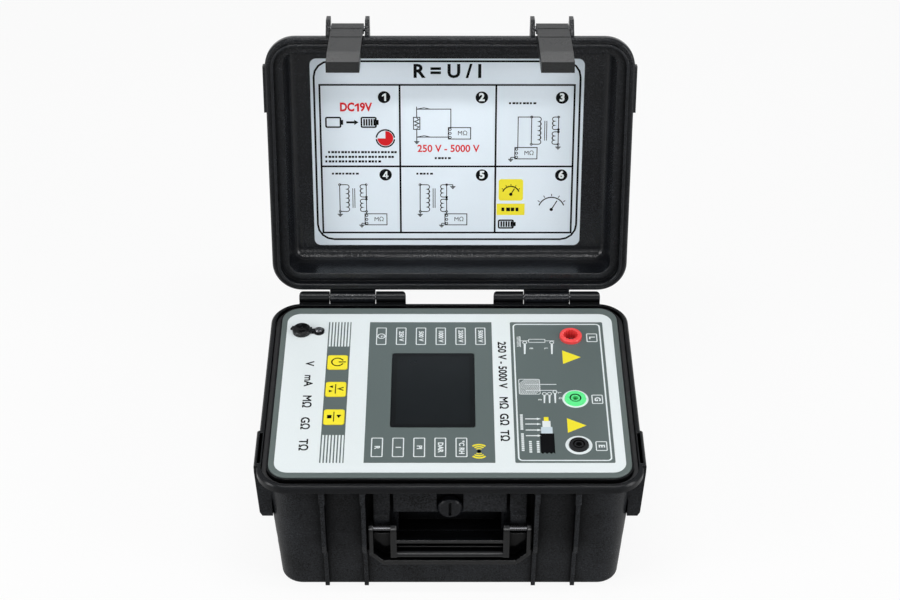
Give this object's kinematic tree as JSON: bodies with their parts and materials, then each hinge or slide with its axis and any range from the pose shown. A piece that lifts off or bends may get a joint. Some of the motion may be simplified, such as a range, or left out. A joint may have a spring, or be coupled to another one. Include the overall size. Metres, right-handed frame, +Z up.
{
  "type": "insulation resistance tester",
  "caption": "Portable insulation resistance tester built into a hinged carrying case with a display, membrane keys, plug sockets, latches and a folding handle.",
  "frame": {"origin": "middle of the flat underside of the case", "axes": "+X to the right as the user faces the handle side, +Y to the back where the lid hinges are, +Z up"},
  "size_m": [0.277, 0.2904, 0.3384],
  "materials": {
    "case_plastic": "moulded dark grey plastic, fine matt grain",
    "latch_plastic": "moulded grey plastic, fine matt grain",
    "panel_plastic": "grey panel, satin",
    "printed_overlay": "white printed film, satin",
    "yellow_key": "yellow printed film, satin",
    "display_black": "black polished window",
    "red_plastic": "red insulating plastic",
    "green_plastic": "green insulating plastic",
    "black_plastic": "black insulating plastic",
    "black_rubber": "black rubber",
    "plated_steel": "zinc plated",
    "brass": "turned brass",
    "board": "green circuit board",
    "battery_wrap": "shrink wrapped cells",
    "strap_metal": "bent sheet",
    "instruction_paper": "printed self adhesive sheet"
  },
  "bodies": {
    "base": {"base_shell": "case_plastic", "rim_gasket": "black_rubber", "front_panel": "panel_plastic", "panel_screws": "plated_steel", "panel_overlay": "printed_overlay", "display_window": "display_black", "display_module": "black_plastic", "main_board": "board", "board_spacers": "brass", "board_screws": "plated_steel", "key_switches": "black_plastic", "line_socket": "red_plastic", "guard_socket": "green_plastic", "earth_socket": "black_plastic", "line_contact": "brass", "guard_contact": "brass", "earth_contact": "brass", "socket_nuts": "plated_steel", "charging_jack": "black_plastic", "jack_contact": "brass", "jack_nut": "plated_steel", "cap_tether": "black_rubber", "tether_screw": "plated_steel", "sounder": "black_plastic", "battery_pack": "battery_wrap", "battery_strap": "strap_metal", "high_voltage_module": "black_plastic", "floor_screws": "plated_steel", "valve_stem": "black_plastic", "valve_seal": "black_rubber", "valve_nut": "black_plastic", "handle_pins": "plated_steel", "hinge_pins": "plated_steel"},
    "lid": {"lid_shell": "case_plastic", "instruction_sheet": "instruction_paper", "latch_pins": "plated_steel"},
    "left_latch": {"left_latch": "latch_plastic"},
    "right_latch": {"right_latch": "latch_plastic"},
    "handle": {"carry_handle": "case_plastic"},
    "valve": {"valve_knob": "latch_plastic"},
    "cap": {"dust_cap": "black_rubber"},
    "power_key": {"power_key": "yellow_key"},
    "voltage_key": {"voltage_key": "yellow_key"},
    "start_key": {"start_key": "yellow_key"}
  },
  "joints": [
    {"name": "lid_hinge", "type": "hinge", "parent": "base", "child": "lid", "pos_m": [0, 0.1076, 0.115], "axis": [1, 0, 0], "range_deg": [0, 104.3]},
    {"name": "left_latch_swing", "type": "hinge", "parent": "lid", "child": "left_latch", "pos_m": [-0.07555, 0.17527, 0.3157], "axis": [-1, 0, 0], "range_deg": [-5, 100]},
    {"name": "right_latch_swing", "type": "hinge", "parent": "lid", "child": "right_latch", "pos_m": [0.07555, 0.17527, 0.3157], "axis": [-1, 0, 0], "range_deg": [-5, 100]},
    {"name": "handle_swing", "type": "hinge", "parent": "base", "child": "handle", "pos_m": [0, -0.0925, 0.065], "axis": [-1, 0, 0], "range_deg": [0, 95]},
    {"name": "valve_turn", "type": "hinge", "parent": "base", "child": "valve", "pos_m": [0, -0.0892, 0.0825], "axis": [0, -1, 0], "range_deg": [0, 180]},
    {"name": "cap_flip", "type": "hinge", "parent": "base", "child": "cap", "pos_m": [-0.10525, 0.064, 0.1185], "axis": [0, 1, 0], "range_deg": [0, 110]},
    {"name": "power_key_press", "type": "slide", "parent": "base", "child": "power_key", "axis": [0, 0, -1], "range_m": [0, 0.0004], "stiffness_N_per_m": 4000},
    {"name": "voltage_key_press", "type": "slide", "parent": "base", "child": "voltage_key", "axis": [0, 0, -1], "range_m": [0, 0.0004], "stiffness_N_per_m": 4000},
    {"name": "start_key_press", "type": "slide", "parent": "base", "child": "start_key", "axis": [0, 0, -1], "range_m": [0, 0.0004], "stiffness_N_per_m": 4000}
  ]
}
